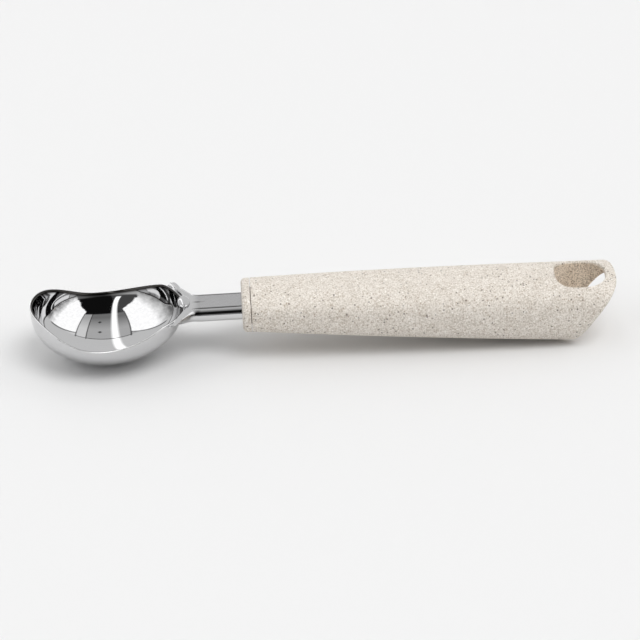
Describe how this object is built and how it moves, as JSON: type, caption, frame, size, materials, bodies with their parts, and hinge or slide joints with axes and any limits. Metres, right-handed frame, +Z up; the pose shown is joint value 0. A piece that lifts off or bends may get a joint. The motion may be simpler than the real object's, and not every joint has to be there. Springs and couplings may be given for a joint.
{
  "type": "ice cream scoop",
  "caption": "Triggerless ice cream scoop: deep oval steel bowl with a wavy rim, flat tube stem with a saddle end, thick oval grip with a hanging hole.",
  "frame": {"origin": "on the table, under the middle of the overall length and width", "axes": "+X from the bowl's tip to the grip's tail, +Z up from the table, +Y to the left of the person holding it"},
  "size_m": [0.1891, 0.04, 0.0221],
  "materials": {
    "bowl_steel": "stainless steel, mirror polished inside, satin bright outside",
    "stem_steel": "stainless steel, polished, satin on the flat top",
    "weld_steel": "bright polished weld metal",
    "collar_plastic": "satin beige wheat straw plastic with fine brown and pale flecks",
    "pin_steel": "plain drawn steel",
    "grip_plastic": "satin beige wheat straw plastic with fine brown and pale flecks"
  },
  "bodies": {
    "root": {"bowl": "bowl_steel", "stem": "stem_steel", "weld_center": "weld_steel", "weld_left": "weld_steel", "weld_right": "weld_steel", "collar": "collar_plastic", "tang_pin": "pin_steel", "grip": "grip_plastic"}
  },
  "joints": []
}
